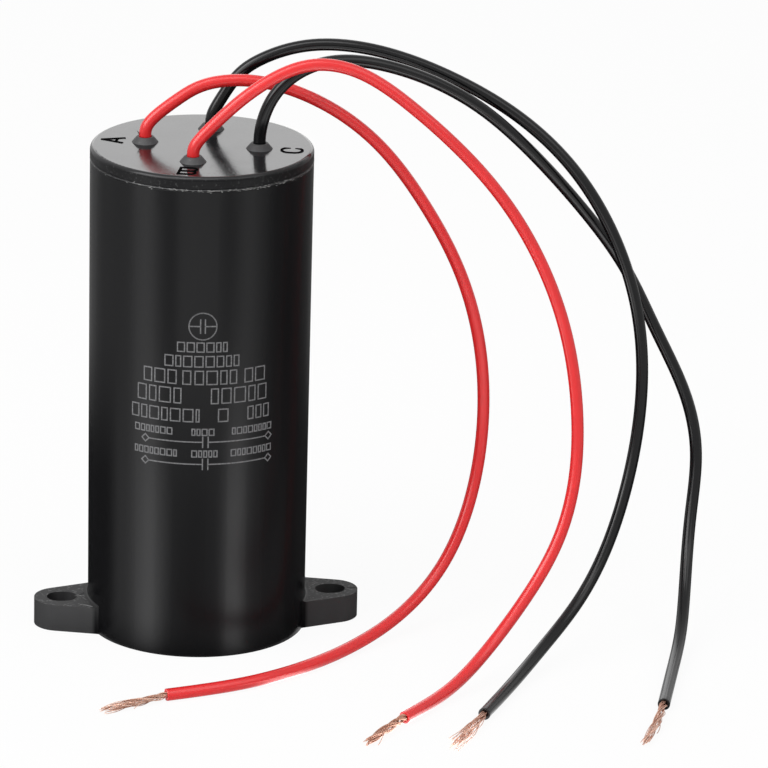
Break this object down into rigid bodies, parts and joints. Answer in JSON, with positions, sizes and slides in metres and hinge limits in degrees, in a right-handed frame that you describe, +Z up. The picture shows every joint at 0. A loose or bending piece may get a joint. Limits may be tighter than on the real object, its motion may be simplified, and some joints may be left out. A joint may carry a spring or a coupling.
{
  "type": "motor run capacitor",
  "caption": "Round black motor run capacitor with a glued lid, red and black flying leads and slotted mounting ears on its base.",
  "frame": {"origin": "centre of the can's base, on the surface that it stands on", "axes": "+Z up the can's axis to the lid; +X along the two mounting ears, to the side where the leads hang"},
  "size_m": [0.1378, 0.1013, 0.1221],
  "materials": {
    "case_plastic": "satin moulded black",
    "lid_plastic": "glossy moulded black",
    "glue": "cured glue, uneven",
    "resin": "cured potting resin",
    "metallised_film": "wound metallised film",
    "core_plastic": "plain",
    "film_tape": "clear yellow tape",
    "zinc": "sprayed zinc, rough",
    "fibre_board": "pressed insulating board",
    "red_pvc": "soft glossy PVC",
    "black_pvc": "soft glossy PVC",
    "copper": "bright stranded copper",
    "solder": "dull solder"
  },
  "bodies": {
    "root": {"case": "case_plastic", "lid": "lid_plastic", "seam_bead": "glue", "potting_resin": "resin", "large_winding": "metallised_film", "large_core": "core_plastic", "large_wrap": "film_tape", "large_zinc_bottom": "zinc", "large_zinc_top": "zinc", "small_winding": "metallised_film", "small_core": "core_plastic", "small_wrap": "film_tape", "small_zinc_bottom": "zinc", "small_zinc_top": "zinc", "spacer_disc": "fibre_board", "tail_a": "red_pvc", "tail_b": "red_pvc", "tail_c": "black_pvc", "tail_d": "black_pvc", "conductor_a": "copper", "conductor_b": "copper", "conductor_c": "copper", "conductor_d": "copper", "solder_a": "solder", "solder_b": "solder", "solder_c": "solder", "solder_d": "solder", "red_lead_a": "red_pvc", "red_lead_b": "red_pvc", "black_lead_c": "black_pvc", "black_lead_d": "black_pvc", "strands_a": "copper", "strands_b": "copper", "strands_c": "copper", "strands_d": "copper"}
  },
  "joints": []
}
